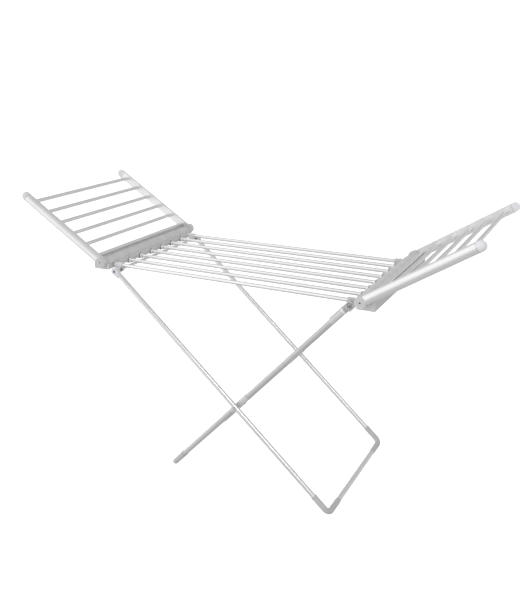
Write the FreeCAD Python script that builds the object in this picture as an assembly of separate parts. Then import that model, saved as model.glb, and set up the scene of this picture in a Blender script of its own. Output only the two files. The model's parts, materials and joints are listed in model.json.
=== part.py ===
import FreeCAD, Part
import math
import os

# Winged clothes drying rack: a flat centre section of eight tubes between two
# plastic hinge housings, one rung wing hinged to each housing, and a folding
# pair of U-shaped legs.  Millimetres, +X along the length, +Y to the back, +Z up.
# The origin is on the floor, under the middle of the rack.

# ---------------------------------------------------------------- overall layout
HINGE_SPAN = 894.0          # between the two wing hinge axes
HINGE_Z = 728.4             # height of both hinge axes
RACK_DEPTH = 540.0          # over the outer faces of the wing rails
WING_ANGLE = 32.4           # rise of the open wings above the horizontal
RUNNING_GAP = 0.05          # radial clearance of a shaft in its bore
PART_GAP = 0.3              # free space between pieces that move past each other

# ---------------------------------------------------------------- tubes
TUBE_R = 6.0                # centre tubes and rungs
TUBE_WALL = 1.0
CENTRE_TUBES = 8
CENTRE_PITCH = 62.1
CENTRE_DROP = 14.4          # tube plane below the hinge axes
CENTRE_INSET = 6.0          # tube end, inboard of the hinge axis
LEG_R = 8.0                 # leg tubes and foot bars
LEG_WALL = 1.2

# ---------------------------------------------------------------- wings
RUNGS = 6
RUNG_FIRST = 31.0           # hinge axis to the innermost rung
RUNG_PITCH = 59.1
RAIL_INNER_Y = 252.0        # flat inner face of a side rail
RAIL_FLAT = 3.0             # flat part of the rail's top and bottom
RAIL_R = 15.0               # half-round outer side of a rail
RAIL_WALL = 1.5
RAIL_REACH = 358.5          # hinge axis to the centre of the rounded rail end
RAIL_CUT = 350.0            # where the metal rail stops and its end cap starts
RAIL_BACK = 6.0             # rail start before its end is scooped for the knuckle
RUNG_ENTRY = 2.6            # how far a rung reaches through the rail's inner face
PLUG_GAP = 0.1
CAP_PLUG = 14.0             # length of the cap's plug inside the rail
KNUCKLE_R = 17.0
KNUCKLE_INNER_Y = 250.5
KNUCKLE_PLUG_END = 23.0     # end of the knuckle's plug, short of the first rung
KNUCKLE_BORE_END_Y = 264.0
SCREW_HOLE_R = 3.0          # central hole in the knuckle's outer face
FACE_RING_R = (7.5, 12.5)   # shallow rings turned into the knuckle's outer face
FACE_RING_WIDTH = 0.8
FACE_RING_DEPTH = 0.6

# ---------------------------------------------------------------- hinge housings
# Outline across the length: u is measured inboard of the hinge axis, w above it.
HOUSING_END_Y = 250.0
SHELL = 2.5
CHEEK = 3.5                 # thickness of the housing's end walls
FLOOR_W = -26.3
OUTER_U = -38.0
OUTER_TOP_W = 2.0
PANEL_LOW = (-22.0, 0.0)
PANEL_CROWN = (2.0, 7.0)
PANEL_EDGE = (22.0, -3.0)
WALL_TOP = (18.0, -8.0)
WALL_U = 15.0
LIP_TOP_W = 9.0                # lip along the outer edge, behind the innermost rung
LIP = 3.0
NOSE_BACK_U = 8.0              # nose that carries the middle tubes, inboard of the main wall
NOSE_TOP = (20.0, -2.0)
NOSE_BROW = (29.0, -9.0)
NOSE_CHIN_W = -20.5
NOSE_END_Y = 206.0
CHEEK_DISC_R = 19.0
HINGE_PIN_R = 6.0
HINGE_PIN_END_Y = 263.7
BOSS_R = 10.5
BOSS_START_U = 12.0
BOSS_END_U = 31.0
RIDGE_START = (0.0, -3.0)      # ridges that fade into the panel above each boss
RIDGE_BACK_U = 8.0
RIDGE_END_U = 26.0             # short of the folded wing's first rung
COLLAR_R = 8.6
COLLAR_START_U = 26.0
COLLAR_END_U = 33.5
STOP_T = (24.0, 36.0)       # stop ledge under the rail, along the open wing
STOP_DEPTH = 4.0
STOP_OUT_Y = 254.5

# ---------------------------------------------------------------- screws
SCREW_SHANK_R = 1.45
SCREW_PILOT_R = 1.5
HINGE_SCREW_HEAD_R = 2.7
HINGE_SCREW_HEAD = 2.0
HINGE_SCREW_SEAT_Y = 264.3
HINGE_SCREW_TIP_Y = 250.0
CASE_SCREW_U = -20.0
CASE_SCREW_PITCHES = (-3, -1, 1, 3)
CASE_PILLAR_R = 4.0
CASE_BOSS_R = 5.2
CASE_SCREW_SEAT_W = -20.0
CASE_SCREW_TIP_W = -5.0
CASE_COUNTERBORE_R = 3.6
CASE_HEAD_R = 3.2
CASE_HEAD = 2.2
SHANK_CLEARANCE_R = 1.8

# ---------------------------------------------------------------- legs
FOOT_Z = 9.0
LEG_A_Y = 243.0
LEG_A_PIVOT = (42.0, -29.0)     # u, w beside the left hinge axis
LEG_A_FOOT_X = 362.3
LEG_B_Y = 214.5
LEG_B_TOP = (51.0, -32.5)       # u, w beside the right hinge axis
LEG_B_FOOT_X = -237.0
ELBOW_R = 9.5
ELBOW_BEND = 20.0
ELBOW_LEG_ARM = 50.0           # straight arm up the leg tube
ELBOW_BAR_ARM = 55.0           # straight arm along the foot bar, before its tapered tip
ELBOW_LIP = 10.3
ELBOW_LIP_LENGTH = 3.0
ELBOW_SOCKET = 34.0
ELBOW_TAPER = 6.0
ELBOW_TIP_R = 8.6
PIVOT_R = 3.0
PIVOT_HEAD_R = 5.0
PIVOT_HEAD = 1.6

# ---------------------------------------------------------------- leg fittings
HEAD_R = 9.5
HEAD_IN_Y = 234.6
HEAD_OUT_Y = 251.4
HEAD_NECK_R = 8.2
HEAD_NECK = 22.0
HEAD_PLUG = 50.0
TONGUE_R = 6.5
TONGUE_HALF = 6.0
CONNECTOR_R = 9.2
CONNECTOR_START = 13.0
CONNECTOR_END = 78.0
CONNECTOR_TUBE = 30.0
COLLAR_RING_R = 11.4
COLLAR_RING = (16.5, 21.5)
STEP_COUNT = 7
STEP_FIRST = 28.0
STEP_PITCH = 6.8
STEP_LENGTH = 3.6
STEP_RISE = 1.8
STEP_HALF_WIDTH = 5.0
CROSS_SLEEVE_R = 9.6
CROSS_SLEEVE_HALF = 42.0
SPACER_R = 7.0

# ---------------------------------------------------------------- leg brackets
SLEEVE_R = 9.3
SLEEVE_U = (22.6, 53.0)
HANGER_Y = (217.4, 234.0)
HANGER_R = 9.0
HANGER_RIB_R = 9.9
HANGER_RIB_Y = (219.5, 224.5, 229.5)
HANGER_RIB = 2.2
HANGER_NOTCH_W = -18.0
AXLE_R = 4.5
CLIP_Y = (223.4, 236.0)
CLIP_CENTRE = (41.0, -25.5)
CLIP_SIDE = 26.0
CLIP_CORNER_R = 3.0
CLIP_RECESS_R = 9.0
CLIP_RECESS = 4.0
CLIP_SCREW_R = 5.2
CLIP_SCREW_HEAD = 2.4
CLIP_SCREW_SHANK = 6.0
CLIP_SLOT_DEPTH = 6.0
CLIP_SLOT_HALF = 4.4
CLIP_SLOT_DROP = 3.0
CLIP_PIN_OUT_Y = 228.9

HALF_SPAN = HINGE_SPAN / 2.0
TUBE_Z = HINGE_Z - CENTRE_DROP
QUARTER_TURN = 90.0
FAR = 1000.0                # larger than anything cut with it


# ---------------------------------------------------------------- small helpers
def vec(x, y, z):
    return FreeCAD.Vector(x, y, z)


def cylinder(start, end, radius):
    """Solid round bar between two points."""
    along = end.sub(start)
    return Part.makeCylinder(radius, along.Length, start, along)


def pipe(start, end, radius, wall):
    """Hollow round tube between two points."""
    return cylinder(start, end, radius).cut(cylinder(start, end, radius - wall))


def box(low, high):
    size = high.sub(low)
    return Part.makeBox(size.x, size.y, size.z, low)


def fuse(pieces):
    """Joins solids and merges the faces that lie in one surface."""
    return pieces[0].multiFuse(list(pieces[1:])).removeSplitter()


def mirror_x(shape):
    return shape.mirror(vec(0, 0, 0), vec(1, 0, 0))


def mirror_y(shape):
    return shape.mirror(vec(0, 0, 0), vec(0, 1, 0))


def solids_only(shape):
    """The solid itself, or a group of the separate solids."""
    solids = shape.Solids
    return solids[0] if len(solids) == 1 else Part.makeCompound(solids)


def save(name, shape):
    solids_only(shape).exportStep("parts/" + name + ".step")


def left_point(u, y, w):
    """Point beside the left hinge axis: u inboard of it, w above it."""
    return vec(u - HALF_SPAN, y, HINGE_Z + w)


def along_line(start, end, distance):
    step = end.sub(start)
    step.normalize()
    return start.add(step.multiply(distance))


# ---------------------------------------------------------------- hinge housing
def housing_outline(y):
    """Closed outline of the left housing in the plane at depth y."""
    corners = [
        (PANEL_EDGE[0], PANEL_EDGE[1]),
        (WALL_TOP[0], WALL_TOP[1]),
        (WALL_U, FLOOR_W),
        (OUTER_U, FLOOR_W),
        (OUTER_U, OUTER_TOP_W),
        (PANEL_LOW[0], PANEL_LOW[1]),
    ]
    points = [left_point(u, y, w) for u, w in corners]
    edges = [Part.LineSegment(a, b).toShape() for a, b in zip(points, points[1:])]
    crown = left_point(PANEL_CROWN[0], y, PANEL_CROWN[1])
    edges.append(Part.Arc(points[-1], crown, points[0]).toShape())
    return Part.Wire(edges)


def nose_outline(y):
    """Closed outline of the nose that runs along the housing between the leg brackets."""
    corners = [
        (NOSE_BACK_U, NOSE_TOP[1]),
        NOSE_TOP,
        NOSE_BROW,
        (NOSE_BROW[0], NOSE_CHIN_W),
        (WALL_U, FLOOR_W),
        (NOSE_BACK_U, FLOOR_W),
    ]
    points = [left_point(u, y, w) for u, w in corners]
    return Part.makePolygon(points + points[:1])


def hollow_along(outline_at, end_y, wall):
    """Outside and inside of a closed box run along Y between its two end walls."""
    outer = Part.Face(outline_at(-end_y)).extrude(vec(0, 2 * end_y, 0))
    inset = Part.Face(outline_at(wall - end_y)).makeOffset2D(-SHELL)
    return outer, inset.extrude(vec(0, 2 * (end_y - wall), 0))


def boss_ridge(y, cavity):
    """Low ridge on the panel that leads down to the boss round a tube."""
    end = left_point(BOSS_END_U, y, -CENTRE_DROP)
    start = left_point(RIDGE_START[0], y, RIDGE_START[1])
    within = box(left_point(RIDGE_BACK_U, y - BOSS_R - SHELL, -FAR),
                 left_point(RIDGE_END_U, y + BOSS_R + SHELL, FAR))
    return cylinder(start, along_line(end, start, -BOSS_R), BOSS_R).common(within).cut(cavity)


def housing_body():
    """Hollow left housing with its cheeks, tube bosses and hinge pins, before it is parted."""
    main, cavity = hollow_along(housing_outline, HOUSING_END_Y, CHEEK)
    nose, nose_cavity = hollow_along(nose_outline, NOSE_END_Y, SHELL)
    lip = box(left_point(OUTER_U, -HOUSING_END_Y, OUTER_TOP_W - SHELL),
              left_point(OUTER_U + LIP, HOUSING_END_Y, LIP_TOP_W))
    additions = [lip]
    for side in (-1, 1):
        cheek_in = side * (HOUSING_END_Y - CHEEK)
        cheek_out = side * HOUSING_END_Y
        axis_in = left_point(0, cheek_in, 0)
        additions.append(cylinder(axis_in, left_point(0, cheek_out, 0), CHEEK_DISC_R))
        additions.append(cylinder(axis_in, left_point(0, side * HINGE_PIN_END_Y, 0), HINGE_PIN_R))
        additions.append(stop_ledge(side))
    shell = fuse([main, nose]).cut(Part.makeCompound([cavity, nose_cavity]))
    bosses = []
    for y in tube_depths()[1:-1]:
        bosses.append(cylinder(left_point(BOSS_START_U, y, -CENTRE_DROP),
                               left_point(BOSS_END_U, y, -CENTRE_DROP), BOSS_R))
        bosses.append(boss_ridge(y, cavity))
    shell = fuse([shell] + additions + bosses)
    cuts = []
    for y in tube_depths():
        cuts.append(cylinder(left_point(0, y, -CENTRE_DROP),
                             left_point(BOSS_END_U + SHELL, y, -CENTRE_DROP), TUBE_R + RUNNING_GAP))
    for y in tube_depths()[1:-1]:
        cuts.append(cylinder(left_point(COLLAR_START_U, y, -CENTRE_DROP),
                             left_point(BOSS_END_U + SHELL, y, -CENTRE_DROP), COLLAR_R + PLUG_GAP))
    for side in (-1, 1):
        cuts.append(cylinder(left_point(0, side * (HOUSING_END_Y - CHEEK), 0),
                             left_point(0, side * (HINGE_PIN_END_Y + SHELL), 0), SCREW_PILOT_R))
    return shell.cut(Part.makeCompound(cuts))


def stop_ledge(side):
    """Ledge on the housing's end face that the open wing's side rail rests on."""
    low_y, high_y = sorted((side * (HOUSING_END_Y - CHEEK), side * STOP_OUT_Y))
    top = -RAIL_R - PART_GAP
    ledge = box(vec(STOP_T[0], low_y, top - STOP_DEPTH), vec(STOP_T[1], high_y, top))
    return mirror_x(place_wing(ledge))


def case_pillars():
    """Screw pillars inside the cover and screw bosses inside the base."""
    pillars = []
    bosses = []
    for step in CASE_SCREW_PITCHES:
        y = step * CENTRE_PITCH
        part_line = left_point(CASE_SCREW_U, y, -CENTRE_DROP)
        top = left_point(CASE_SCREW_U, y, PANEL_LOW[1] - SHELL / 2)
        floor = left_point(CASE_SCREW_U, y, FLOOR_W)
        seat = left_point(CASE_SCREW_U, y, CASE_SCREW_SEAT_W)
        tip = left_point(CASE_SCREW_U, y, CASE_SCREW_TIP_W)
        pillar = cylinder(part_line, top, CASE_PILLAR_R)
        pillars.append(pillar.cut(cylinder(part_line, tip, SCREW_PILOT_R)))
        boss = cylinder(floor, part_line, CASE_BOSS_R)
        boss = boss.cut(cylinder(floor, seat, CASE_COUNTERBORE_R))
        bosses.append(boss.cut(cylinder(seat, part_line, SHANK_CLEARANCE_R)))
    return pillars, bosses


def case_screw_holes():
    """Clearance bored through the base's floor for the case screws."""
    holes = []
    for step in CASE_SCREW_PITCHES:
        y = step * CENTRE_PITCH
        holes.append(cylinder(left_point(CASE_SCREW_U, y, FLOOR_W - SHELL),
                              left_point(CASE_SCREW_U, y, CASE_SCREW_SEAT_W), CASE_COUNTERBORE_R))
    return Part.makeCompound(holes)


def housing_parts():
    """Cover and base of the left housing, parted on the plane of the tube centres."""
    body = housing_body()
    above = box(left_point(-FAR, -FAR, -CENTRE_DROP), left_point(FAR, FAR, FAR))
    pillars, bosses = case_pillars()
    cover = fuse([body.common(above)] + pillars)
    base = body.cut(above).cut(case_screw_holes())
    base = fuse([base] + bosses)
    return cover, base


def case_screws():
    screws = []
    for step in CASE_SCREW_PITCHES:
        y = step * CENTRE_PITCH
        seat = left_point(CASE_SCREW_U, y, CASE_SCREW_SEAT_W)
        head = cylinder(left_point(CASE_SCREW_U, y, CASE_SCREW_SEAT_W - CASE_HEAD), seat, CASE_HEAD_R)
        shank = cylinder(seat, left_point(CASE_SCREW_U, y, CASE_SCREW_TIP_W), SCREW_SHANK_R)
        screws.append(fuse([head, shank]))
    return screws


def hinge_screws():
    """Screws down the middle of the left housing's two hinge pins."""
    screws = []
    for side in (-1, 1):
        seat = left_point(0, side * HINGE_SCREW_SEAT_Y, 0)
        crown = left_point(0, side * (HINGE_SCREW_SEAT_Y + HINGE_SCREW_HEAD), 0)
        tip = left_point(0, side * HINGE_SCREW_TIP_Y, 0)
        screws.append(fuse([cylinder(seat, crown, HINGE_SCREW_HEAD_R), cylinder(tip, seat, SCREW_SHANK_R)]))
    return screws


# ---------------------------------------------------------------- centre section
def tube_depths():
    middle = (CENTRE_TUBES - 1) / 2.0
    return [(index - middle) * CENTRE_PITCH for index in range(CENTRE_TUBES)]


def centre_tube(y):
    end = HALF_SPAN - CENTRE_INSET
    return pipe(vec(-end, y, TUBE_Z), vec(end, y, TUBE_Z), TUBE_R, TUBE_WALL)


def tube_collars():
    """Ring around each inner tube where it leaves the left housing."""
    rings = []
    for y in tube_depths()[1:-1]:
        start = left_point(COLLAR_START_U, y, -CENTRE_DROP)
        end = left_point(COLLAR_END_U, y, -CENTRE_DROP)
        rings.append(cylinder(start, end, COLLAR_R).cut(cylinder(start, end, TUBE_R + RUNNING_GAP)))
    return rings


# ---------------------------------------------------------------- wings
def place_wing(shape):
    """Turns a shape drawn along +X from the origin onto the open right wing."""
    placed = shape.copy()
    placed.rotate(vec(0, 0, 0), vec(0, -1, 0), WING_ANGLE)
    placed.translate(vec(HALF_SPAN, 0, HINGE_Z))
    return placed


def rail_section(inset, start, end):
    """Bar with the rail's D-shaped section, shrunk by inset, from start to end."""
    radius = RAIL_R - inset
    flat_y = RAIL_INNER_Y + inset
    round_y = RAIL_INNER_Y + RAIL_FLAT
    low_flat = vec(start, flat_y, -radius)
    low_round = vec(start, round_y, -radius)
    high_round = vec(start, round_y, radius)
    high_flat = vec(start, flat_y, radius)
    edges = [
        Part.LineSegment(low_flat, low_round).toShape(),
        Part.Arc(low_round, vec(start, round_y + radius, 0), high_round).toShape(),
        Part.LineSegment(high_round, high_flat).toShape(),
        Part.LineSegment(high_flat, low_flat).toShape(),
    ]
    return Part.Face(Part.Wire(edges)).extrude(vec(end - start, 0, 0))


def rung_positions():
    return [RUNG_FIRST + index * RUNG_PITCH for index in range(RUNGS)]


def rail():
    """Back rail of a wing, hollow, with a hole for each rung and a scooped hinge end."""
    bar = rail_section(0, RAIL_BACK, RAIL_CUT).cut(rail_section(RAIL_WALL, 0, RAIL_CUT + RAIL_R))
    cuts = [cylinder(vec(0, KNUCKLE_INNER_Y, 0), vec(0, RACK_DEPTH, 0), KNUCKLE_R + PLUG_GAP)]
    for t in rung_positions():
        cuts.append(cylinder(vec(t, 0, 0), vec(t, RAIL_INNER_Y + 2 * RAIL_WALL, 0), TUBE_R + RUNNING_GAP))
    return bar.cut(Part.makeCompound(cuts))


def knuckle():
    """Back hinge knuckle: a disc round the hinge pin with a plug up the rail."""
    disc = cylinder(vec(0, KNUCKLE_INNER_Y, 0), vec(0, RACK_DEPTH / 2, 0), KNUCKLE_R)
    plug = rail_section(RAIL_WALL + PLUG_GAP, 0, KNUCKLE_PLUG_END)
    body = fuse([disc, plug])
    cuts = [
        cylinder(vec(0, 0, 0), vec(0, KNUCKLE_BORE_END_Y, 0), HINGE_PIN_R + RUNNING_GAP),
        cylinder(vec(0, 0, 0), vec(0, RACK_DEPTH, 0), SCREW_HOLE_R),
    ]
    for radius in FACE_RING_R:
        face = RACK_DEPTH / 2
        groove = cylinder(vec(0, face - FACE_RING_DEPTH, 0), vec(0, face + SHELL, 0), radius)
        cuts.append(groove.cut(cylinder(vec(0, 0, 0), vec(0, RACK_DEPTH, 0), radius - FACE_RING_WIDTH)))
    return body.cut(Part.makeCompound(cuts))


def end_cap():
    """Rounded cap on the back rail's free end, with a plug inside the rail."""
    round_y = RAIL_INNER_Y + RAIL_FLAT
    centre = vec(RAIL_REACH, round_y, 0)
    beyond = box(vec(RAIL_REACH, -FAR, -FAR), vec(FAR, FAR, FAR))
    ball = Part.makeSphere(RAIL_R, centre)
    ball = ball.common(beyond).common(box(vec(-FAR, round_y, -FAR), vec(FAR, FAR, FAR)))
    disc = cylinder(vec(RAIL_REACH, RAIL_INNER_Y, 0), centre, RAIL_R).common(beyond)
    collar = rail_section(0, RAIL_CUT, RAIL_REACH)
    plug = rail_section(RAIL_WALL + PLUG_GAP, RAIL_CUT - CAP_PLUG, RAIL_CUT)
    return fuse([collar, disc, ball, plug])


def rung(t):
    reach = RAIL_INNER_Y + RUNG_ENTRY
    return pipe(vec(t, -reach, 0), vec(t, reach, 0), TUBE_R, TUBE_WALL)


# ---------------------------------------------------------------- legs
def leg_a_points(side):
    top = left_point(LEG_A_PIVOT[0], side * LEG_A_Y, LEG_A_PIVOT[1])
    return top, vec(LEG_A_FOOT_X, side * LEG_A_Y, FOOT_Z)


def leg_b_points(side):
    top = vec(HALF_SPAN - LEG_B_TOP[0], side * LEG_B_Y, HINGE_Z + LEG_B_TOP[1])
    return top, vec(LEG_B_FOOT_X, side * LEG_B_Y, FOOT_Z)


def crossing():
    """Where the centre lines of the two leg frames cross, seen along Y."""
    a_top, a_foot = leg_a_points(1)
    b_top, b_foot = leg_b_points(1)
    a_dir = a_foot.sub(a_top)
    b_dir = b_foot.sub(b_top)
    gap = b_top.sub(a_top)
    share = (gap.x * b_dir.z - gap.z * b_dir.x) / (a_dir.x * b_dir.z - a_dir.z * b_dir.x)
    point = a_top.add(a_dir.multiply(share))
    return vec(point.x, 0, point.z)


def leg_tube(top, foot, start):
    """Leg tube from below its top fitting down into the elbow's socket."""
    low = along_line(foot, top, ELBOW_BEND + ELBOW_LEG_ARM - ELBOW_SOCKET)
    return pipe(along_line(top, foot, start), low, LEG_R, LEG_WALL)


def foot_bar(foot):
    reach = abs(foot.y) - ELBOW_BEND - (ELBOW_BAR_ARM - ELBOW_SOCKET)
    return pipe(vec(foot.x, -reach, foot.z), vec(foot.x, reach, foot.z), LEG_R, LEG_WALL)


def offset_point(point, direction, distance):
    """Point at a distance from another one, along a unit direction."""
    return point.add(vec(direction.x, direction.y, direction.z).multiply(distance))


def elbow(top, foot):
    """Corner piece that joins a leg tube to its foot bar, flattened where it stands."""
    inward = vec(0, -math.copysign(1, foot.y), 0)
    up_leg = top.sub(foot)
    up_leg.normalize()
    leg_start = offset_point(foot, up_leg, ELBOW_BEND)
    leg_end = offset_point(leg_start, up_leg, ELBOW_LEG_ARM)
    bar_start = offset_point(foot, inward, ELBOW_BEND)
    bar_end = offset_point(bar_start, inward, ELBOW_BAR_ARM)
    body = fuse([
        bend(foot, up_leg, inward),
        cylinder(leg_start, leg_end, ELBOW_R),
        cylinder(offset_point(leg_end, up_leg, -ELBOW_LIP_LENGTH), leg_end, ELBOW_LIP),
        cylinder(bar_start, bar_end, ELBOW_R),
        Part.makeCone(ELBOW_R, ELBOW_TIP_R, ELBOW_TAPER, bar_end, inward),
    ])
    cuts = [
        cylinder(offset_point(leg_end, up_leg, -ELBOW_SOCKET), top, LEG_R + RUNNING_GAP),
        cylinder(offset_point(bar_end, inward, -ELBOW_SOCKET), vec(foot.x, 0, foot.z), LEG_R + RUNNING_GAP),
        box(vec(-FAR, -FAR, -FAR), vec(FAR, FAR, 0)),
    ]
    return body.cut(Part.makeCompound(cuts))


def bend(foot, up_leg, inward):
    """Quarter-turn of solid bar between the elbow's two arms."""
    start = offset_point(foot, inward, ELBOW_BEND)
    centre = offset_point(start, up_leg, ELBOW_BEND)
    section = Part.Face(Part.Wire(Part.makeCircle(ELBOW_R, start, inward)))
    return section.revolve(centre, up_leg.cross(inward), QUARTER_TURN)


def pivot_bore(point, radius):
    """Bar along Y through a pivot, for boring its hole."""
    return cylinder(vec(point.x, -FAR, point.z), vec(point.x, FAR, point.z), radius)


def leg_a_fitting(side):
    """Eye at the top of leg frame A that turns on the left bracket's screw."""
    top, foot = leg_a_points(side)
    head = cylinder(vec(top.x, side * HEAD_IN_Y, top.z), vec(top.x, side * HEAD_OUT_Y, top.z), HEAD_R)
    neck = cylinder(top, along_line(top, foot, HEAD_NECK), HEAD_NECK_R)
    plug = cylinder(top, along_line(top, foot, HEAD_PLUG), LEG_R - LEG_WALL - PLUG_GAP)
    return fuse([head, neck, plug]).cut(pivot_bore(top, PIVOT_R + RUNNING_GAP))


def leg_b_fitting(side):
    """Stepped connector at the top of leg frame B, ending in a tongue for the clip."""
    top, foot = leg_b_points(side)
    tongue = cylinder(vec(top.x, top.y - TONGUE_HALF, top.z), vec(top.x, top.y + TONGUE_HALF, top.z), TONGUE_R)
    tongue_neck = cylinder(top, along_line(top, foot, CONNECTOR_START), TONGUE_R)
    body = cylinder(along_line(top, foot, CONNECTOR_START), along_line(top, foot, CONNECTOR_END), CONNECTOR_R)
    ring = cylinder(along_line(top, foot, COLLAR_RING[0]), along_line(top, foot, COLLAR_RING[1]), COLLAR_RING_R)
    pieces = [tongue, tongue_neck, body, ring] + connector_steps(top, foot)
    socket = cylinder(along_line(top, foot, CONNECTOR_TUBE), foot, LEG_R + RUNNING_GAP)
    return fuse(pieces).cut(socket).cut(pivot_bore(top, PIVOT_R + RUNNING_GAP))


def connector_steps(top, foot):
    """Row of low ribs along the connector's upper side."""
    lean = math.degrees(math.atan2(top.z - foot.z, top.x - foot.x))
    steps = []
    for index in range(STEP_COUNT):
        start = STEP_FIRST + index * STEP_PITCH
        block = box(vec(-start - STEP_LENGTH, -STEP_HALF_WIDTH, 0),
                    vec(-start, STEP_HALF_WIDTH, CONNECTOR_R + STEP_RISE))
        block.rotate(vec(0, 0, 0), vec(0, -1, 0), lean)
        block.translate(top)
        steps.append(block)
    return steps


def crossing_sleeve(side):
    """Plastic sleeve round leg B at the crossing."""
    top, foot = leg_b_points(side)
    centre = crossing()
    middle = vec(centre.x, side * LEG_B_Y, centre.z)
    start = along_line(middle, top, CROSS_SLEEVE_HALF)
    end = along_line(middle, foot, CROSS_SLEEVE_HALF)
    sleeve = cylinder(start, end, CROSS_SLEEVE_R).cut(cylinder(start, end, LEG_R + RUNNING_GAP))
    return sleeve.cut(pivot_bore(centre, PIVOT_R + RUNNING_GAP))


def crossing_spacer(side):
    centre = crossing()
    inner = LEG_B_Y + CROSS_SLEEVE_R
    outer = LEG_A_Y - LEG_R - PART_GAP
    disc = cylinder(vec(centre.x, side * inner, centre.z), vec(centre.x, side * outer, centre.z), SPACER_R)
    leg_top, leg_foot = leg_b_points(side)
    around_leg = cylinder(leg_top, leg_foot, CROSS_SLEEVE_R + PLUG_GAP)
    return disc.cut(around_leg).cut(pivot_bore(centre, PIVOT_R + RUNNING_GAP))


def crossing_stud(side):
    """Rivet through both legs at the crossing, with a head at each end."""
    centre = crossing()
    inner = LEG_B_Y - CROSS_SLEEVE_R
    outer = LEG_A_Y + LEG_R + PART_GAP
    ends = []
    for y, head in ((inner, -PIVOT_HEAD), (outer, PIVOT_HEAD)):
        ends.append(cylinder(vec(centre.x, side * y, centre.z),
                             vec(centre.x, side * (y + head), centre.z), PIVOT_HEAD_R))
    shank = cylinder(vec(centre.x, side * inner, centre.z), vec(centre.x, side * outer, centre.z), PIVOT_R)
    return fuse([shank] + ends)


def clip_pin(side):
    """Pin through leg B's tongue whose outer end sits in the clip's slot."""
    top = leg_b_points(side)[0]
    inner = side * (LEG_B_Y - TONGUE_HALF)
    return cylinder(vec(top.x, inner, top.z), vec(top.x, side * CLIP_PIN_OUT_Y, top.z), PIVOT_R)


# ---------------------------------------------------------------- brackets
def left_bracket(side):
    """Sleeve on the outer tube with a hanger that carries leg A's pivot screw."""
    y = side * tube_depths()[-1]
    start = left_point(SLEEVE_U[0], y, -CENTRE_DROP)
    end = left_point(SLEEVE_U[1], y, -CENTRE_DROP)
    sleeve = cylinder(start, end, SLEEVE_R)
    pivot_u, pivot_w = LEG_A_PIVOT
    hanger = cylinder(left_point(pivot_u, side * HANGER_Y[0] - side * SLEEVE_R, pivot_w),
                      left_point(pivot_u, side * HANGER_Y[1], pivot_w), HANGER_R)
    low_y, high_y = sorted((side * HANGER_Y[0], side * HANGER_Y[1]))
    web = box(left_point(pivot_u - HANGER_R, low_y, pivot_w), left_point(pivot_u + HANGER_R, high_y, HANGER_NOTCH_W))
    ribs = []
    for rib_y in HANGER_RIB_Y:
        ribs.append(cylinder(left_point(pivot_u, side * rib_y, pivot_w),
                             left_point(pivot_u, side * (rib_y + HANGER_RIB), pivot_w), HANGER_RIB_R))
    body = fuse([sleeve, hanger, web] + ribs)
    axle_end = side * HANGER_Y[0]
    cuts = [
        cylinder(left_point(0, y, -CENTRE_DROP), left_point(HALF_SPAN, y, -CENTRE_DROP), TUBE_R + RUNNING_GAP),
        cylinder(left_point(pivot_u, 0, pivot_w), left_point(pivot_u, axle_end, pivot_w), AXLE_R + RUNNING_GAP),
        pivot_bore(left_point(pivot_u, 0, pivot_w), PIVOT_R),
    ]
    return body.cut(Part.makeCompound(cuts))


def leg_axle():
    """Cross tube between the left brackets, on the leg pivot axis."""
    pivot_u, pivot_w = LEG_A_PIVOT
    reach = HANGER_Y[0]
    return pipe(left_point(pivot_u, -reach, pivot_w), left_point(pivot_u, reach, pivot_w), AXLE_R, TUBE_WALL)


def leg_pivot_screw(side):
    pivot_u, pivot_w = LEG_A_PIVOT
    face = HEAD_OUT_Y + PART_GAP
    shank = cylinder(left_point(pivot_u, side * HANGER_Y[0], pivot_w),
                     left_point(pivot_u, side * face, pivot_w), PIVOT_R)
    head = cylinder(left_point(pivot_u, side * face, pivot_w),
                    left_point(pivot_u, side * (face + PIVOT_HEAD), pivot_w), PIVOT_HEAD_R)
    return fuse([shank, head])


def right_bracket(side):
    """Sleeve on the outer tube with the open clip that holds leg B's pin."""
    y = side * tube_depths()[-1]
    sleeve = cylinder(left_point(SLEEVE_U[0], y, -CENTRE_DROP), left_point(SLEEVE_U[1], y, -CENTRE_DROP), SLEEVE_R)
    body = fuse([sleeve, clip_block(side)])
    centre_u, centre_w = CLIP_CENTRE
    pin_u, pin_w = LEG_B_TOP
    slot_in = side * CLIP_Y[0] - side * SLEEVE_R
    slot_low_y, slot_high_y = sorted((slot_in, side * (CLIP_Y[0] + CLIP_SLOT_DEPTH)))
    slot = box(left_point(-HALF_SPAN, slot_low_y, pin_w - CLIP_SLOT_HALF - CLIP_SLOT_DROP),
               left_point(pin_u, slot_high_y, pin_w + CLIP_SLOT_HALF))
    slot_end = cylinder(left_point(pin_u, slot_low_y, pin_w), left_point(pin_u, slot_high_y, pin_w),
                        CLIP_SLOT_HALF)
    screw_in = side * (CLIP_Y[1] - CLIP_RECESS)
    cuts = [
        cylinder(left_point(0, y, -CENTRE_DROP), left_point(HALF_SPAN, y, -CENTRE_DROP), TUBE_R + RUNNING_GAP),
        slot,
        slot_end,
        cylinder(left_point(centre_u, screw_in, centre_w), left_point(centre_u, side * FAR, centre_w),
                 CLIP_RECESS_R),
        cylinder(left_point(centre_u, screw_in - side * CLIP_SCREW_SHANK, centre_w),
                 left_point(centre_u, screw_in, centre_w), SCREW_PILOT_R),
    ]
    return mirror_x(body.cut(Part.makeCompound(cuts)))


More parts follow.
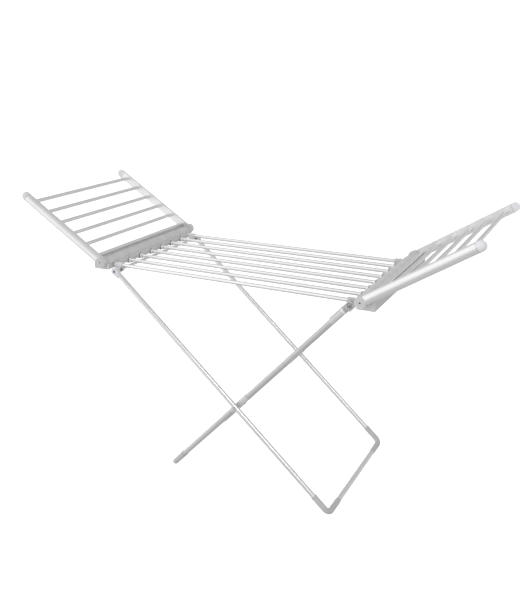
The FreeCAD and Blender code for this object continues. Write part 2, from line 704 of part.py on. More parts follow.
def clip_block(side):
    """Square block, set in line with leg B, beside the outer tube."""
    low_y, high_y = sorted((side * CLIP_Y[0], side * CLIP_Y[1]))
    half = CLIP_SIDE / 2
    block = box(vec(-half, low_y, -half), vec(half, high_y, half))
    upright = [edge for edge in block.Edges if abs(edge.Vertexes[0].Y - edge.Vertexes[1].Y) > half / 2]
    block = block.makeFillet(CLIP_CORNER_R, upright)
    top, foot = leg_b_points(1)
    lean = math.degrees(math.atan2(top.z - foot.z, top.x - foot.x))
    block.rotate(vec(0, 0, 0), vec(0, 1, 0), lean)
    block.translate(left_point(CLIP_CENTRE[0], 0, CLIP_CENTRE[1]))
    return block


def clip_screw(side):
    centre_u, centre_w = CLIP_CENTRE
    seat = side * (CLIP_Y[1] - CLIP_RECESS)
    head = cylinder(left_point(centre_u, seat, centre_w),
                    left_point(centre_u, seat + side * CLIP_SCREW_HEAD, centre_w), CLIP_SCREW_R)
    shank = cylinder(left_point(centre_u, seat - side * CLIP_SCREW_SHANK, centre_w),
                     left_point(centre_u, seat, centre_w), SCREW_SHANK_R)
    return mirror_x(fuse([head, shank]))


# ---------------------------------------------------------------- build
def build_rack():
    cover, base = housing_parts()
    save("housing_cover_left", cover)
    save("housing_cover_right", mirror_x(cover))
    save("housing_base_left", base)
    save("housing_base_right", mirror_x(base))
    for name, pieces in (("tube_collars", tube_collars()), ("case_screws", case_screws()),
                         ("hinge_screws", hinge_screws())):
        save(name, Part.makeCompound(pieces + [mirror_x(piece) for piece in pieces]))
    for number, y in enumerate(tube_depths(), 1):
        save("centre_tube_%d" % number, centre_tube(y))
    save("leg_bracket_left_front", left_bracket(-1))
    save("leg_bracket_left_back", left_bracket(1))
    save("leg_clip_right_front", right_bracket(-1))
    save("leg_clip_right_back", right_bracket(1))
    save("leg_axle", leg_axle())
    save("leg_pivot_screws", Part.makeCompound([leg_pivot_screw(-1), leg_pivot_screw(1)]))
    save("clip_screws", Part.makeCompound([clip_screw(-1), clip_screw(1)]))


def build_wings():
    back_rail = place_wing(rail())
    back_knuckle = place_wing(knuckle())
    back_cap = place_wing(end_cap())
    for side, turn in (("right", lambda shape: shape), ("left", mirror_x)):
        save("wing_%s_rail_back" % side, turn(back_rail))
        save("wing_%s_rail_front" % side, turn(mirror_y(back_rail)))
        for name, piece in (("knuckles", back_knuckle), ("end_caps", back_cap)):
            save("wing_%s_%s" % (side, name), Part.makeCompound([turn(piece), turn(mirror_y(piece))]))
        for number, t in enumerate(rung_positions(), 1):
            save("wing_%s_rung_%d" % (side, number), turn(place_wing(rung(t))))


def build_legs():
    centre = crossing()
    stud_hole = pivot_bore(centre, PIVOT_R + RUNNING_GAP)
    for name, points, start in (("leg_a", leg_a_points, HEAD_NECK), ("leg_b", leg_b_points, CONNECTOR_TUBE)):
        for place, side in (("front", -1), ("back", 1)):
            top, foot = points(side)
            save("%s_tube_%s" % (name, place), leg_tube(top, foot, start).cut(stud_hole))
            save("%s_elbow_%s" % (name, place), elbow(top, foot))
        save("%s_foot_bar" % name, foot_bar(points(1)[1]))
    for place, side in (("front", -1), ("back", 1)):
        save("leg_a_pivot_eye_%s" % place, leg_a_fitting(side))
        save("leg_b_connector_%s" % place, leg_b_fitting(side))
    for name, maker in (("crossing_sleeves", crossing_sleeve), ("crossing_spacers", crossing_spacer),
                        ("crossing_rivets", crossing_stud), ("clip_pins", clip_pin)):
        save(name, Part.makeCompound([maker(-1), maker(1)]))


os.makedirs("parts", exist_ok=True)
build_rack()
build_wings()
build_legs()
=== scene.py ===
import json
import math

import bpy
import bmesh
from mathutils import Matrix, Vector


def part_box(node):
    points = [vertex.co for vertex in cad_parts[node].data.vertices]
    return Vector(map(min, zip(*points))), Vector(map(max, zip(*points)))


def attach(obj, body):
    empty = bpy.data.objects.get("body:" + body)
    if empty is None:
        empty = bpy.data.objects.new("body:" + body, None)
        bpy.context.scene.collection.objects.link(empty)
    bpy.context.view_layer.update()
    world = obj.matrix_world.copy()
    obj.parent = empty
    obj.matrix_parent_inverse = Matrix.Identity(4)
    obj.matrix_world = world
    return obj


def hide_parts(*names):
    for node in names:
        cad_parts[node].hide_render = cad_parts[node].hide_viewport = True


# Winged clothes drying rack.  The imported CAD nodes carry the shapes; this script gives them
# their finishes and adds the small moulded details, then lights and frames the object.

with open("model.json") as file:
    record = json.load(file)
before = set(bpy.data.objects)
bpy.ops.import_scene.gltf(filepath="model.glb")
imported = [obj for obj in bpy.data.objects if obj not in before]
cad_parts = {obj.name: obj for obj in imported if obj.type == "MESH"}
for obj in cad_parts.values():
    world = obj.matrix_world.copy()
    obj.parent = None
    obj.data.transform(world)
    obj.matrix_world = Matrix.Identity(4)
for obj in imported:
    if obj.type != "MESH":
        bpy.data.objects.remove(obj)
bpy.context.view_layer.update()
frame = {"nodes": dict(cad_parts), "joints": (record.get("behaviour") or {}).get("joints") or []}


def middle(node):
    low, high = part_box(node)
    return (Vector(low) + Vector(high)) / 2


PITCH = (middle("centre_tube_2") - middle("centre_tube_1")).length

# ---------------------------------------------------------------- camera
CAMERA_AT = Vector((1.0597, -2.0099, 1.3797))
CAMERA_TURN = 27.35         # degrees, look direction turned from +Y towards -X
CAMERA_DIP = 19.29          # degrees below the horizontal
CAMERA_ROLL = -0.45
CAMERA_LENS = 42.91
SENSOR = 36.0
CLIP_START = 0.05
CLIP_END = 200.0            # beyond the backdrop


def add_camera():
    """Camera at the object's front right, looking slightly down."""
    data = bpy.data.cameras.new("camera")
    data.lens = CAMERA_LENS
    data.sensor_width = SENSOR
    data.clip_start = CLIP_START
    data.clip_end = CLIP_END
    turn, dip, roll = (math.radians(v) for v in (CAMERA_TURN, CAMERA_DIP, CAMERA_ROLL))
    forward = Vector((-math.sin(turn) * math.cos(dip), math.cos(turn) * math.cos(dip), -math.sin(dip)))
    right = Vector((math.cos(turn), math.sin(turn), 0))
    up = right.cross(forward)
    rolled_right = right * math.cos(roll) + up * math.sin(roll)
    rolled_up = up * math.cos(roll) - right * math.sin(roll)
    camera = bpy.data.objects.new("camera", data)
    bpy.context.scene.collection.objects.link(camera)
    camera.rotation_mode = "QUATERNION"
    camera.matrix_world = Matrix.Translation(CAMERA_AT) @ Matrix(
        (rolled_right, rolled_up, -forward)).transposed().to_4x4()
    bpy.context.scene.camera = camera


# ---------------------------------------------------------------- light, floor and backdrop
KEY_FROM = (-0.82, -0.5, 0.28)
KEY_EDGE = (0.5, 0.85)      # cosine from the key direction at which the glow starts and is full
KEY_STRENGTH = 1.2
FILL_STRENGTH = 0.54
HORIZON_BAND = (0.05, 0.12)     # steepness at which the white band starts to fade, and ends
BAND_STRENGTH = 1.0
STUDIO_REACH = 60.0         # half the floor's side, and the radius and height of the backdrop
WALL_STEPS = 64
STUDIO_TONE = (0.9, 0.9, 0.9, 1)
STUDIO_GLOW = 0.7
SOFTBOX_AT = (2.0, -1.9, 2.5)
SOFTBOX_AIM = (0, 0, 0.6)
SOFTBOX_SIZE = (1.0, 1.4)
SOFTBOX_POWER = 18
WHITE = (1, 1, 1, 1)


def add_area_light(name, place, target, size, power):
    data = bpy.data.lights.new(name, "AREA")
    data.shape = "RECTANGLE"
    data.size, data.size_y = size
    data.energy = power
    light = bpy.data.objects.new(name, data)
    bpy.context.scene.collection.objects.link(light)
    light.location = place
    light.rotation_euler = (Vector(target) - Vector(place)).to_track_quat("-Z", "Y").to_euler()


def add_world(key_from, key, fill):
    """Studio surround: one broad bright side, grey elsewhere, and a white band at the horizon."""
    world = bpy.data.worlds.new("studio")
    world.use_nodes = True
    nodes, links = world.node_tree.nodes, world.node_tree.links
    direction = nodes.new("ShaderNodeTexCoord").outputs["Generated"]
    facing = nodes.new("ShaderNodeVectorMath")
    facing.operation = "DOT_PRODUCT"
    facing.inputs[1].default_value = Vector(key_from).normalized()
    links.new(direction, facing.inputs[0])
    glow = map_range(nodes, links, facing.outputs["Value"], KEY_EDGE, (fill, key))
    split = nodes.new("ShaderNodeSeparateXYZ")
    links.new(direction, split.inputs["Vector"])
    off_band = nodes.new("ShaderNodeMath")
    off_band.operation = "ABSOLUTE"
    links.new(split.outputs["Z"], off_band.inputs[0])
    band = map_range(nodes, links, off_band.outputs["Value"], HORIZON_BAND, (BAND_STRENGTH, 0.0))
    brighter = nodes.new("ShaderNodeMath")
    brighter.operation = "MAXIMUM"
    links.new(glow, brighter.inputs[0])
    links.new(band, brighter.inputs[1])
    links.new(brighter.outputs["Value"], nodes["Background"].inputs["Strength"])
    nodes["Background"].inputs["Color"].default_value = WHITE
    bpy.context.scene.world = world


def map_range(nodes, links, source, span, result):
    node = nodes.new("ShaderNodeMapRange")
    node.interpolation_type = "SMOOTHSTEP"
    node.inputs["From Min"].default_value, node.inputs["From Max"].default_value = span
    node.inputs["To Min"].default_value, node.inputs["To Max"].default_value = result
    links.new(source, node.inputs["Value"])
    return node.outputs["Result"]


def studio_white():
    """Matt white that is bright enough to wash out the soft shadows on it."""
    material = new_material("floor_white")
    shader = material.node_tree.nodes["Principled BSDF"]
    shader.inputs["Base Color"].default_value = STUDIO_TONE
    shader.inputs["Roughness"].default_value = 1.0
    shader.inputs["Specular IOR Level"].default_value = 0.0
    shader.inputs["Emission Color"].default_value = WHITE
    shader.inputs["Emission Strength"].default_value = STUDIO_GLOW
    return material


def add_studio():
    """Flat floor inside a round wall.  Only the camera sees them, so they don't colour the metal."""
    material = studio_white()
    floor_shape = bmesh.new()
    corners = [floor_shape.verts.new((STUDIO_REACH * x, STUDIO_REACH * y, 0))
               for x, y in ((-1, -1), (1, -1), (1, 1), (-1, 1))]
    floor_shape.faces.new(corners)
    floor = new_object("floor", floor_shape, material)
    wall_shape = bmesh.new()
    rings = [[wall_shape.verts.new((STUDIO_REACH * math.cos(turn), STUDIO_REACH * math.sin(turn), level))
              for turn in full_turn(WALL_STEPS)] for level in (0, STUDIO_REACH)]
    bridge(wall_shape, *rings)
    wall = new_object("backdrop", wall_shape, material)
    wall.visible_shadow = False
    for stage in (floor, wall):
        stage.visible_glossy = False
        stage.visible_diffuse = False


# ---------------------------------------------------------------- materials
def new_material(name):
    material = bpy.data.materials.new(name)
    material.use_nodes = True
    return material


def link(material, source, target):
    material.node_tree.links.new(source, target)


def add_node(material, kind, **inputs):
    node = material.node_tree.nodes.new(kind)
    for key, value in inputs.items():
        node.inputs[key.replace("_", " ")].default_value = value
    return node


def ramp(material, source, stops):
    """Colour that goes from one stop to the next as the source goes from 0 to 1."""
    node = material.node_tree.nodes.new("ShaderNodeValToRGB")
    elements = node.color_ramp.elements
    while len(elements) < len(stops):
        elements.new(0.5)
    for element, (place, colour) in zip(elements, stops):
        element.position = place
        element.color = (*colour, 1)
    link(material, source, node.inputs["Fac"])
    return node.outputs["Color"]


def spread(material, source, low, high):
    node = material.node_tree.nodes.new("ShaderNodeMapRange")
    node.inputs["To Min"].default_value = low
    node.inputs["To Max"].default_value = high
    link(material, source, node.inputs["Value"])
    return node.outputs["Result"]


def place_on(material, scale=(1, 1, 1)):
    """Object coordinates in metres, stretched by a scale per axis."""
    coordinates = material.node_tree.nodes.new("ShaderNodeTexCoord")
    mapping = material.node_tree.nodes.new("ShaderNodeMapping")
    mapping.inputs["Scale"].default_value = scale
    link(material, coordinates.outputs["Object"], mapping.inputs["Vector"])
    return mapping.outputs["Vector"]


def noise(material, space, scale, detail, rough=0.55):
    node = add_node(material, "ShaderNodeTexNoise", Scale=scale, Detail=detail, Roughness=rough)
    link(material, space, node.inputs["Vector"])
    return node.outputs["Fac"]


def rounded_edges(material, radius):
    """Normal that rolls over the moulded edges, which are slightly rounded on the real piece."""
    node = material.node_tree.nodes.new("ShaderNodeBevel")
    node.samples = 4
    node.inputs["Radius"].default_value = radius
    return node.outputs["Normal"]


def relief(material, height, strength, distance, normal=None):
    node = add_node(material, "ShaderNodeBump", Strength=strength, Distance=distance)
    link(material, height, node.inputs["Height"])
    if normal:
        link(material, normal, node.inputs["Normal"])
    return node.outputs["Normal"]


def aluminium(name, draw_scale, light, dark, roughness, metallic=0.9):
    """Satin drawn aluminium: draw lines along the tube, a cloudy anodised tone, fine handling marks."""
    material = new_material(name)
    shader = material.node_tree.nodes["Principled BSDF"]
    shader.inputs["Metallic"].default_value = metallic
    cloud = noise(material, place_on(material), scale=14.0, detail=4.0)
    link(material, ramp(material, cloud, [(0.3, dark), (0.7, light)]), shader.inputs["Base Color"])
    lines = noise(material, place_on(material, draw_scale), scale=1.0, detail=3.0, rough=0.7)
    link(material, spread(material, lines, roughness - 0.06, roughness + 0.08), shader.inputs["Roughness"])
    normal = relief(material, lines, strength=0.12, distance=0.0002)
    link(material, normal, shader.inputs["Normal"])
    return material


def moulded_plastic(name, light, dark, roughness, grain=1400.0, grain_strength=0.25, edge=0.0008):
    """Moulded plastic: spark-eroded grain, flow mottle, uneven gloss and rounded edges."""
    material = new_material(name)
    shader = material.node_tree.nodes["Principled BSDF"]
    shader.inputs["Specular IOR Level"].default_value = 0.45
    space = place_on(material)
    mottle = noise(material, space, scale=22.0, detail=5.0)
    link(material, ramp(material, mottle, [(0.3, dark), (0.7, light)]), shader.inputs["Base Color"])
    link(material, spread(material, mottle, roughness - 0.05, roughness + 0.1), shader.inputs["Roughness"])
    spark = noise(material, space, scale=grain, detail=2.0, rough=0.5)
    normal = relief(material, spark, grain_strength, 0.0001, rounded_edges(material, edge))
    link(material, normal, shader.inputs["Normal"])
    return material


def zinc_steel(name, tint, roughness):
    """Plated screw steel with tiny crystalline variation in tone and gloss."""
    material = new_material(name)
    shader = material.node_tree.nodes["Principled BSDF"]
    shader.inputs["Metallic"].default_value = 1.0
    crystals = add_node(material, "ShaderNodeTexVoronoi", Scale=900.0)
    link(material, place_on(material), crystals.inputs["Vector"])
    distance = crystals.outputs["Distance"]
    worn = tuple(0.8 * channel for channel in tint)
    link(material, ramp(material, distance, [(0.0, worn), (1.0, tint)]), shader.inputs["Base Color"])
    link(material, spread(material, distance, roughness - 0.08, roughness + 0.1), shader.inputs["Roughness"])
    normal = relief(material, distance, 0.2, 0.0001, rounded_edges(material, radius=0.0004))
    link(material, normal, shader.inputs["Normal"])
    return material


def grey(tone):
    return (tone, tone, tone)


def make_materials():
    """Finishes by name.  Metals take a stretch per axis for their draw lines, then light and dark tones."""
    along_x = (4, 1500, 1500)
    along_y = (1500, 4, 1500)
    mixed = (900, 900, 900)
    silver = ((0.90, 0.90, 0.905), (0.85, 0.85, 0.855))
    lilac = ((0.84, 0.84, 0.87), (0.80, 0.80, 0.83))
    return {
        "centre_tube": aluminium("satin_aluminium_centre", along_x, *silver, roughness=0.27),
        "rung": aluminium("satin_aluminium_rung", along_y, *silver, roughness=0.36),
        "rail": aluminium("satin_aluminium_rail", mixed, *silver, roughness=0.4, metallic=0.75),
        "leg": aluminium("satin_aluminium_leg", mixed, *silver, roughness=0.3),
        # Leg frame B: a copy of the leg aluminium with a darker base tone, painted shade for the duller
        # light its tubes catch; roughness and metallic set its satin finish.
        "leg_b": aluminium("matt_aluminium_leg_shaded", mixed, grey(0.66), grey(0.62),
                           roughness=0.55, metallic=0.35),
        "housing": moulded_plastic("grey_housing_plastic", grey(0.68), grey(0.63), roughness=0.5),
        "fitting": moulded_plastic("grey_fitting_plastic", grey(0.60), grey(0.55), roughness=0.48),
        "knuckle": moulded_plastic("grey_knuckle_plastic", grey(0.72), grey(0.68), roughness=0.45),
        "pale": moulded_plastic("pale_lilac_plastic", *lilac, roughness=0.2,
                                grain=2000.0, grain_strength=0.1),
        "screw": zinc_steel("blue_zinc_steel", (0.30, 0.38, 0.52), roughness=0.3),
        "sleeve": moulded_plastic("light_sleeve_plastic", grey(0.78), grey(0.73), roughness=0.4),
        # Near-white plastic: the own tone of the sleeves and connector rings, and a painted highlight on the
        # corner beads.
        "ring": moulded_plastic("white_ring_and_highlight_plastic", grey(0.92), grey(0.88), roughness=0.35),
        # Near-black rings at the tube roots: painted shadow of the gaps between sleeve and housing and
        # between tube and sleeve.
        "gap": moulded_plastic("painted_gap_shadow", grey(0.10), grey(0.07), roughness=0.6),
        # Mid-dark grey for painted shade: the shadow in the rail-to-cap joints and on the left brackets'
        # inner faces.
        "painted_shade": moulded_plastic("painted_shade_grey", grey(0.30), grey(0.25), roughness=0.6),
        # Near-black steel: the hinge screws' own finish, and painted shade inside the screws' cross
        # recesses.
        "dark_screw": zinc_steel("oxide_steel_and_recess_shade", grey(0.10), roughness=0.4),
        "bright_screw": zinc_steel("bright_zinc_steel", (0.70, 0.71, 0.72), roughness=0.25),
    }


def material_for(node):
    """Name of the finish that a CAD node takes."""
    rules = (
        ("centre_tube", "centre_tube"), ("rung", "rung"), ("rail", "rail"),
        ("leg_a_tube", "leg"), ("leg_b_tube", "leg_b"), ("foot_bar", "leg"), ("leg_axle", "leg"),
        ("housing", "housing"), ("knuckle", "knuckle"),
        ("end_caps", "pale"), ("bracket_left", "pale"), ("pivot_eye", "pale"),
        ("elbow", "fitting"), ("collars", "knuckle"), ("leg_clip", "fitting"),
        ("connector", "knuckle"), ("sleeves", "sleeve"), ("spacers", "fitting"),
        ("clip_screws", "bright_screw"), ("case_screws", "bright_screw"), ("rivets", "bright_screw"),
        ("hinge_screws", "dark_screw"),
    )
    for part_of_name, finish in rules:
        if part_of_name in node:
            return finish
    return "screw"


def dress_nodes(materials):
    for name, piece in frame["nodes"].items():
        piece.data.materials.clear()
        piece.data.materials.append(materials[material_for(name)])


# ---------------------------------------------------------------- mesh tools
def new_object(name, shape, material=None):
    """Turns a bmesh into an object in the scene."""
    mesh = bpy.data.meshes.new(name)
    shape.to_mesh(mesh)
    shape.free()
    if material:
        mesh.materials.append(material)
    made = bpy.data.objects.new(name, mesh)
    bpy.context.scene.collection.objects.link(made)
    return made


def new_piece(name, shape, material, body, sharp=35):
    """Turns a bmesh into a smooth piece that rides on a body, with edges over the sharp angle kept."""
    bmesh.ops.recalc_face_normals(shape, faces=shape.faces)
    piece = new_object(name, shape, material)
    for face in piece.data.polygons:
        face.use_smooth = True
    piece.data.set_sharp_from_angle(angle=math.radians(sharp))
    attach(piece, body)
    return piece


def full_turn(steps):
    """Angles evenly spaced round a circle."""
    return [math.tau * step / steps for step in range(steps)]


def across(axis):
    """Two unit vectors square to an axis and to each other."""
    side = axis.orthogonal().normalized()
    return side, axis.cross(side).normalized()


def lathe(shape, profile, start, axis, steps=40):
    """Turns a closed profile of (radius, distance along the axis) round the axis."""
    axis = axis.normalized()
    first, second = across(axis)
    rings = []
    for radius, along in profile:
        centre = start + along * axis
        if radius == 0:
            rings.append([shape.verts.new(centre)] * steps)
            continue
        rings.append([shape.verts.new(centre + radius * (math.cos(turn) * first + math.sin(turn) * second))
                      for turn in full_turn(steps)])
    for ring, following in zip(rings, rings[1:] + rings[:1]):
        if ring[0] is ring[1] and following[0] is following[1]:
            continue
        bridge(shape, ring, following)


def bridge(shape, ring, following):
    """Faces between two closed rings of corners; a ring may be a single point."""
    count = len(ring)
    for step in range(count):
        ahead = (step + 1) % count
        corners = []
        for corner in (ring[step], ring[ahead], following[ahead], following[step]):
            if corner not in corners:
                corners.append(corner)
        shape.faces.new(corners)


def prism(shape, rings):
    """Closed solid through a stack of outlines that have the same number of corners."""
    stack = [[shape.verts.new(corner) for corner in ring] for ring in rings]
    for ring, following in zip(stack, stack[1:]):
        bridge(shape, ring, following)
    shape.faces.new(stack[0])
    shape.faces.new(stack[-1])


def rounded_line(points, steps):
    """Smooth run of points through the given ones, with a Catmull-Rom curve between each two."""
    ends = [2 * points[0] - points[1]] + list(points) + [2 * points[-1] - points[-2]]
    line = []
    for before, start, end, after in zip(ends, ends[1:], ends[2:], ends[3:]):
        for step in range(steps):
            t = step / steps
            line.append(0.5 * (2 * start + (end - before) * t
                               + (2 * before - 5 * start + 4 * end - after) * t ** 2
                               + (3 * start - before - 3 * end + after) * t ** 3))
    return line + [points[-1]]


# ---------------------------------------------------------------- reference places
JOINT_AT = {joint["name"]: Vector(joint["pos_m"]) for joint in frame["joints"]}
INWARD = {"left": 1, "right": -1}           # sign of x from the hinge towards the middle of the rack
ENDS = {"front": -1, "back": 1}             # sign of y


def beside_hinge(side, inboard, y, above):
    """Point given in the housing's own terms: inboard of the hinge axis, and above it."""
    hinge = JOINT_AT["wing_" + side + "_fold"]
    return Vector((hinge.x + INWARD[side] * inboard, y, hinge.z + above))


# ---------------------------------------------------------------- housing details
PANEL_LINE = ((-0.0348, 0.0072), (-0.024, 0.0070), (-0.011, 0.0080), (0.002, 0.0080),
              (0.013, 0.0045), (0.0225, -0.0022))      # inboard and above the hinge axis
PANEL_DEPTH = 0.0035
PANEL_SMOOTHING = 4         # steps of the curve between two points of the line
PANEL_HALF = 0.2497
FLUTE_HEIGHT = 0.0040
FLUTE_STEPS = 24            # columns of faces from one tube to the next


def flute(inboard, y):
    """Height of the rounded flutes, one above each tube, which die out at the outer edge."""
    start, crown = PANEL_LINE[1][0], PANEL_LINE[3][0]
    fade = min(max((inboard - start) / (crown - start), 0), 1)
    return FLUTE_HEIGHT * fade * abs(math.sin(math.pi * y / PITCH))


def add_cover_panel(side, material):
    """Fluted top of the cover, from behind the innermost rung down to the tubes."""
    shape = bmesh.new()
    line = rounded_line([Vector(point) for point in PANEL_LINE], PANEL_SMOOTHING)
    columns = 2 * math.ceil(PANEL_HALF / PITCH * FLUTE_STEPS)
    rings = []
    for column in range(columns + 1):
        y = PANEL_HALF * (2 * column / columns - 1)
        top = [beside_hinge(side, inboard, y, above + flute(inboard, y)) for inboard, above in line]
        bottom = [beside_hinge(side, inboard, y, above - PANEL_DEPTH) for inboard, above in reversed(line)]
        rings.append(top + bottom)
    prism(shape, rings)
    new_piece("cover_panel_" + side, shape, material, "rack")


COLLAR_FACE = 0.0335        # from the hinge axis to the collars in the housing
MIDDLE_TUBES = range(2, 8)  # the outer two carry the leg fittings
SLEEVE_PROFILE = ((0.0070, 0.0007), (0.0082, 0.0007), (0.0084, 0.0035), (0.0081, 0.0078),
                  (0.0076, 0.0087), (0.0070, 0.0087))
# Near-black ring at each tube root, a painted shadow: a thin disc at the collar face and a bore ring round
# the tube.
SHADOW_RING_PROFILE = ((0.0060, -0.0005), (0.0094, -0.0005), (0.0094, 0.0008), (0.0071, 0.0008),
                (0.0071, 0.0070), (0.0060, 0.0070))


def add_tube_rings(name, side, profile, material):
    """Rings in front of the collars of the middle tubes."""
    shape = bmesh.new()
    for number in MIDDLE_TUBES:
        tube = middle("centre_tube_%d" % number)
        start = beside_hinge(side, COLLAR_FACE, tube.y, 0)
        start.z = tube.z
        lathe(shape, profile, start, Vector((INWARD[side], 0, 0)))
    new_piece(name + side, shape, material, "rack")


BEAD_LINE = ((0.0212, -0.0042), (0.0172, -0.0095), (0.0146, -0.0255))
BEAD_RADIUS = 0.0023
BEAD_Y = 0.2492
BEAD_SMOOTHING = 5
BEAD_STEPS = 12


def add_corner_highlight_beads(material):
    """Rounded bead down each end wall's inner edge, in near-white plastic lighter than the housing: a
    painted highlight along that corner.
    """
    shape = bmesh.new()
    for side in INWARD:
        for sign in ENDS.values():
            points = rounded_line([beside_hinge(side, inboard, sign * BEAD_Y, above)
                                   for inboard, above in BEAD_LINE], BEAD_SMOOTHING)
            prism(shape, bead_rings(points))
    new_piece("cover_corner_highlight_beads", shape, material, "rack", 60)


def bead_rings(points):
    """Round sections square to a line of points in an XZ plane."""
    rings = []
    for index, point in enumerate(points):
        ahead = points[min(index + 1, len(points) - 1)]
        behind = points[max(index - 1, 0)]
        outward = (ahead - behind).normalized().cross(Vector((0, 1, 0)))
        rings.append([point + BEAD_RADIUS * (math.cos(turn) * outward + Vector((0, math.sin(turn), 0)))
                      for turn in full_turn(BEAD_STEPS)])
    return rings


# ---------------------------------------------------------------- wing details
CAP_SEAM = 0.350            # from the hinge axis to the joint between rail and end cap
SEAM_WIDTH = 0.0007
SEAM_PROUD = 0.0001
SEAM_DEPTH = 0.0012
RAIL_ROUND = 0.015
RAIL_FLAT_Y = 0.252
RAIL_ROUND_Y = 0.255
RAIL_STEPS = 24


def rail_outline(grow, sign, origin, lift):
    """D-shaped outline round a rail: flat inside, half round outside."""
    radius = RAIL_ROUND + grow
    corners = [origin + Vector((0, sign * (RAIL_FLAT_Y - grow), 0)) + radius * lift]
    for step in range(RAIL_STEPS + 1):
        turn = math.pi * (0.5 - step / RAIL_STEPS)
        corners.append(origin + Vector((0, sign * (RAIL_ROUND_Y + radius * math.cos(turn)), 0))
                       + radius * math.sin(turn) * lift)
    corners.append(origin + Vector((0, sign * (RAIL_FLAT_Y - grow), 0)) - radius * lift)
    return corners


def add_cap_seam_shadows(side, material):
    """Thin dark strip in the joint between each rail and its end cap: painted shadow of the gap there."""
    wing = "wing_" + side
    along = (middle(wing + "_rung_6") - middle(wing + "_rung_1")).normalized()
    lift = along.cross(Vector((0, 1, 0)))
    shape = bmesh.new()
    for sign in ENDS.values():
        rings = []
        for grow, shift in ((SEAM_PROUD, -0.5), (SEAM_PROUD, 0.5), (-SEAM_DEPTH, 0.5), (-SEAM_DEPTH, -0.5)):
            origin = JOINT_AT[wing + "_fold"] + (CAP_SEAM + shift * SEAM_WIDTH) * along
            ring = rail_outline(grow, sign, origin, lift)
            rings.append([shape.verts.new(corner) for corner in ring])
        for ring, following in zip(rings, rings[1:] + rings[:1]):
            bridge(shape, ring, following)
    new_piece(wing + "_cap_seam_shadows", shape, material, wing)


# ---------------------------------------------------------------- leg details
EYE_R = 0.0122              # round face of the pivot eye
EYE_TAIL = 0.026            # from the pivot to the tail's end, down the leg
EYE_TAIL_R = 0.0084
EYE_PLATE = 0.0045
EYE_EDGE = 0.0009
EYE_STEPS = 32              # round the head's half circle


def eye_outline(shrink, pivot, down, square):
    """Round head with sides that draw in towards the leg."""
    corners = []
    for step in range(EYE_STEPS + 1):
        turn = math.pi * (0.5 + step / EYE_STEPS)
        corners.append(pivot + (EYE_R - shrink) * (math.cos(turn) * down + math.sin(turn) * square))
    for step in range(EYE_STEPS // 2 + 1):
        turn = math.pi * (step / (EYE_STEPS // 2) - 0.5)
        reach = EYE_TAIL - EYE_TAIL_R
        corners.append(pivot + reach * down
                       + (EYE_TAIL_R - shrink) * (math.cos(turn) * down + math.sin(turn) * square))
    return corners


def add_eye_plates(material):
    """Flat round-headed face on the outside of each pivot eye of leg frame A."""
    pivot = JOINT_AT["leg_a_fold"]
    foot = middle("leg_a_foot_bar")
    down = Vector((foot.x - pivot.x, 0, foot.z - pivot.z)).normalized()
    square = down.cross(Vector((0, 1, 0)))
    for end, sign in ENDS.items():
        low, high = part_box("leg_a_pivot_eye_" + end)
        face = high[1] if sign > 0 else low[1]
        shape = bmesh.new()
        levels = ((0, face - sign * EYE_PLATE), (0, face - sign * EYE_EDGE / 2), (EYE_EDGE / 3, face),
                  (EYE_EDGE, face + sign * EYE_EDGE / 3))
        prism(shape, [eye_outline(shrink, Vector((pivot.x, y, pivot.z)), down, square)
                      for shrink, y in levels])
        new_piece("leg_a_eye_plate_" + end, shape, material, "leg_frame_a", 60)


RING_PROFILE = ((0.0090, 0.0190), (0.0114, 0.0192), (0.0122, 0.0207), (0.0122, 0.0245),
                (0.0114, 0.0260), (0.0090, 0.0262))


def add_connector_rings(material):
    """Thick ring round the top of each connector of leg frame B."""
    top = middle("clip_pins")
    foot = middle("leg_b_foot_bar")
    shape = bmesh.new()
    for end, sign in ENDS.items():
        start = Vector((top.x, middle("leg_b_tube_" + end).y, top.z))
        lathe(shape, RING_PROFILE, start, Vector((foot.x - top.x, 0, foot.z - top.z)))
    new_piece("connector_rings", shape, material, "leg_frame_b")


HEAD_STEPS = ((0, 1.0), (0.45, 0.98), (0.75, 0.85), (0.93, 0.55), (1.0, 0.2), (1.0, 0.0))
SHANK_R = 0.0022
SHANK_LENGTH = 0.008
CROSS_WIDTH = 0.32          # of the head's radius
CROSS_REACH = 0.58
CROSS_TURN = math.radians(25)
CROSS_FLOOR = 0.25          # of the head's height
PIVOT_HEAD = (0.0044, 0.0016)       # radius and height
CLIP_HEAD = (0.0060, 0.0026)


def cross_outline(radius):
    """Twelve corners of a cross in the XZ plane."""
    corners = []
    for quarter in range(4):
        turn = CROSS_TURN + quarter * math.pi / 2
        arm = Vector((math.cos(turn), 0, math.sin(turn))) * radius
        side = Vector((-math.sin(turn), 0, math.cos(turn))) * radius * CROSS_WIDTH / 2
        root = arm * CROSS_WIDTH / 2
        tip = arm * CROSS_REACH
        corners += [root - side, tip - side, tip + side]
    return corners


def add_screws(name, node, size, metal, recess_shade):
    """Pan-head screws with a cross recess, one at each end, in place of the plain ones. The recess faces
    take the near-black material as painted shade.
    """
    radius, height = size
    shape = bmesh.new()
    cut_shape = bmesh.new()
    outline = cross_outline(radius)
    low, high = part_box(node)
    centre = middle(node)
    for face, sign in ((low[1], -1), (high[1], 1)):
        place = Vector((centre.x, face - sign * height, centre.z))
        out = Vector((0, sign, 0))
        profile = [(radius * across_head, height * up) for across_head, up in HEAD_STEPS]
        profile += [(SHANK_R, 0), (SHANK_R, -SHANK_LENGTH), (0, -SHANK_LENGTH)]
        lathe(shape, profile, place, out)
        levels = (height * CROSS_FLOOR, height * 2)
        prism(cut_shape, [[place + corner + out * level for corner in outline] for level in levels])
    screws = new_piece(name, shape, metal, "rack")
    screws.data.materials.append(recess_shade)
    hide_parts(node)
    bmesh.ops.recalc_face_normals(cut_shape, faces=cut_shape.faces)
    # Cut faces take the second, near-black material: painted shade inside the recess.
    for face in cut_shape.faces:
        face.material_index = 1
    cut_away(screws, new_object(name + "_cut", cut_shape))


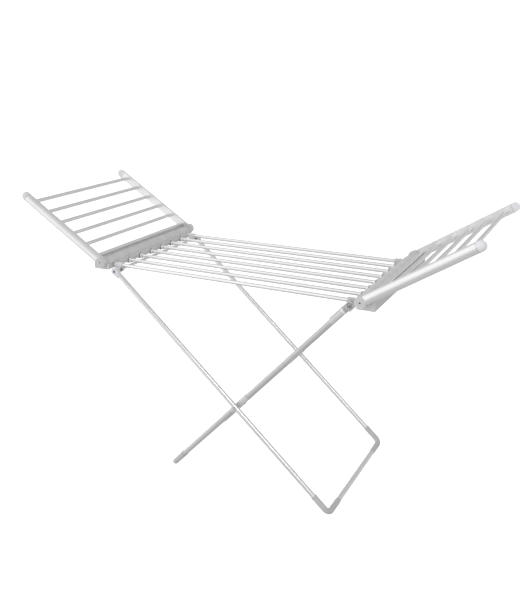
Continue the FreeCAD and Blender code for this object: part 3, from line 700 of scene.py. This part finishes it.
def cut_away(piece, cutter):
    """Cuts one mesh out of another for good, and removes the cutter."""
    cut = piece.modifiers.new("recess", "BOOLEAN")
    cut.object = cutter
    cut.solver = "EXACT"
    finished = piece.evaluated_get(bpy.context.evaluated_depsgraph_get())
    finished_mesh = bpy.data.meshes.new_from_object(finished)
    piece.modifiers.clear()
    piece.data = finished_mesh
    bpy.data.objects.remove(cutter)


# Dark pad on each left bracket's inner face, a painted shade.
SHADE_PAD_PROFILE = ((0, 0.0022), (0.0040, 0.0022), (0.0050, 0.0014), (0.0054, 0.0002),
                  (0.0054, -0.008), (0, -0.008))
SHADE_PAD_FROM_FACE = 0.0072   # from the bracket's outer face
SHADE_PAD_ABOVE_PIVOT = 0.003


def add_bracket_shade_pads(material):
    """Round dark pad on the inner face of each left bracket: painted shade for that shaded inner side."""
    shape = bmesh.new()
    for end, sign in ENDS.items():
        low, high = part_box("leg_bracket_left_" + end)
        outer = high[1] if sign > 0 else low[1]
        level = JOINT_AT["leg_a_fold"].z + SHADE_PAD_ABOVE_PIVOT
        place = Vector((high[0], outer - sign * SHADE_PAD_FROM_FACE, level))
        lathe(shape, SHADE_PAD_PROFILE, place, Vector((1, 0, 0)))
    new_piece("bracket_shade_pads", shape, material, "rack")


# ---------------------------------------------------------------- build the scene
materials = make_materials()
dress_nodes(materials)
for side in INWARD:
    add_cover_panel(side, materials["housing"])
    add_tube_rings("tube_sleeves_", side, SLEEVE_PROFILE, materials["ring"])
    # Near-black rings paint the shadow in the gaps round each middle tube's sleeve.
    add_tube_rings("tube_shadow_rings_", side, SHADOW_RING_PROFILE, materials["gap"])
    # Dark strips paint the shadow in the joints between rails and end caps.
    add_cap_seam_shadows(side, materials["painted_shade"])
# Near-white beads paint the highlight on the housing's inner corner edges.
add_corner_highlight_beads(materials["ring"])
add_eye_plates(materials["pale"])
add_connector_rings(materials["ring"])
add_screws("pivot_screw_heads", "leg_pivot_screws", PIVOT_HEAD, materials["screw"], materials["dark_screw"])
add_screws("clip_screw_heads", "clip_screws", CLIP_HEAD, materials["bright_screw"], materials["dark_screw"])
# Dark pads paint the shade on the left brackets' inner faces.
add_bracket_shade_pads(materials["painted_shade"])
add_camera()
bpy.context.scene.view_settings.view_transform = "Standard"
add_world(KEY_FROM, KEY_STRENGTH, FILL_STRENGTH)
add_studio()
add_area_light("strip_softbox", SOFTBOX_AT, SOFTBOX_AIM, SOFTBOX_SIZE, SOFTBOX_POWER)
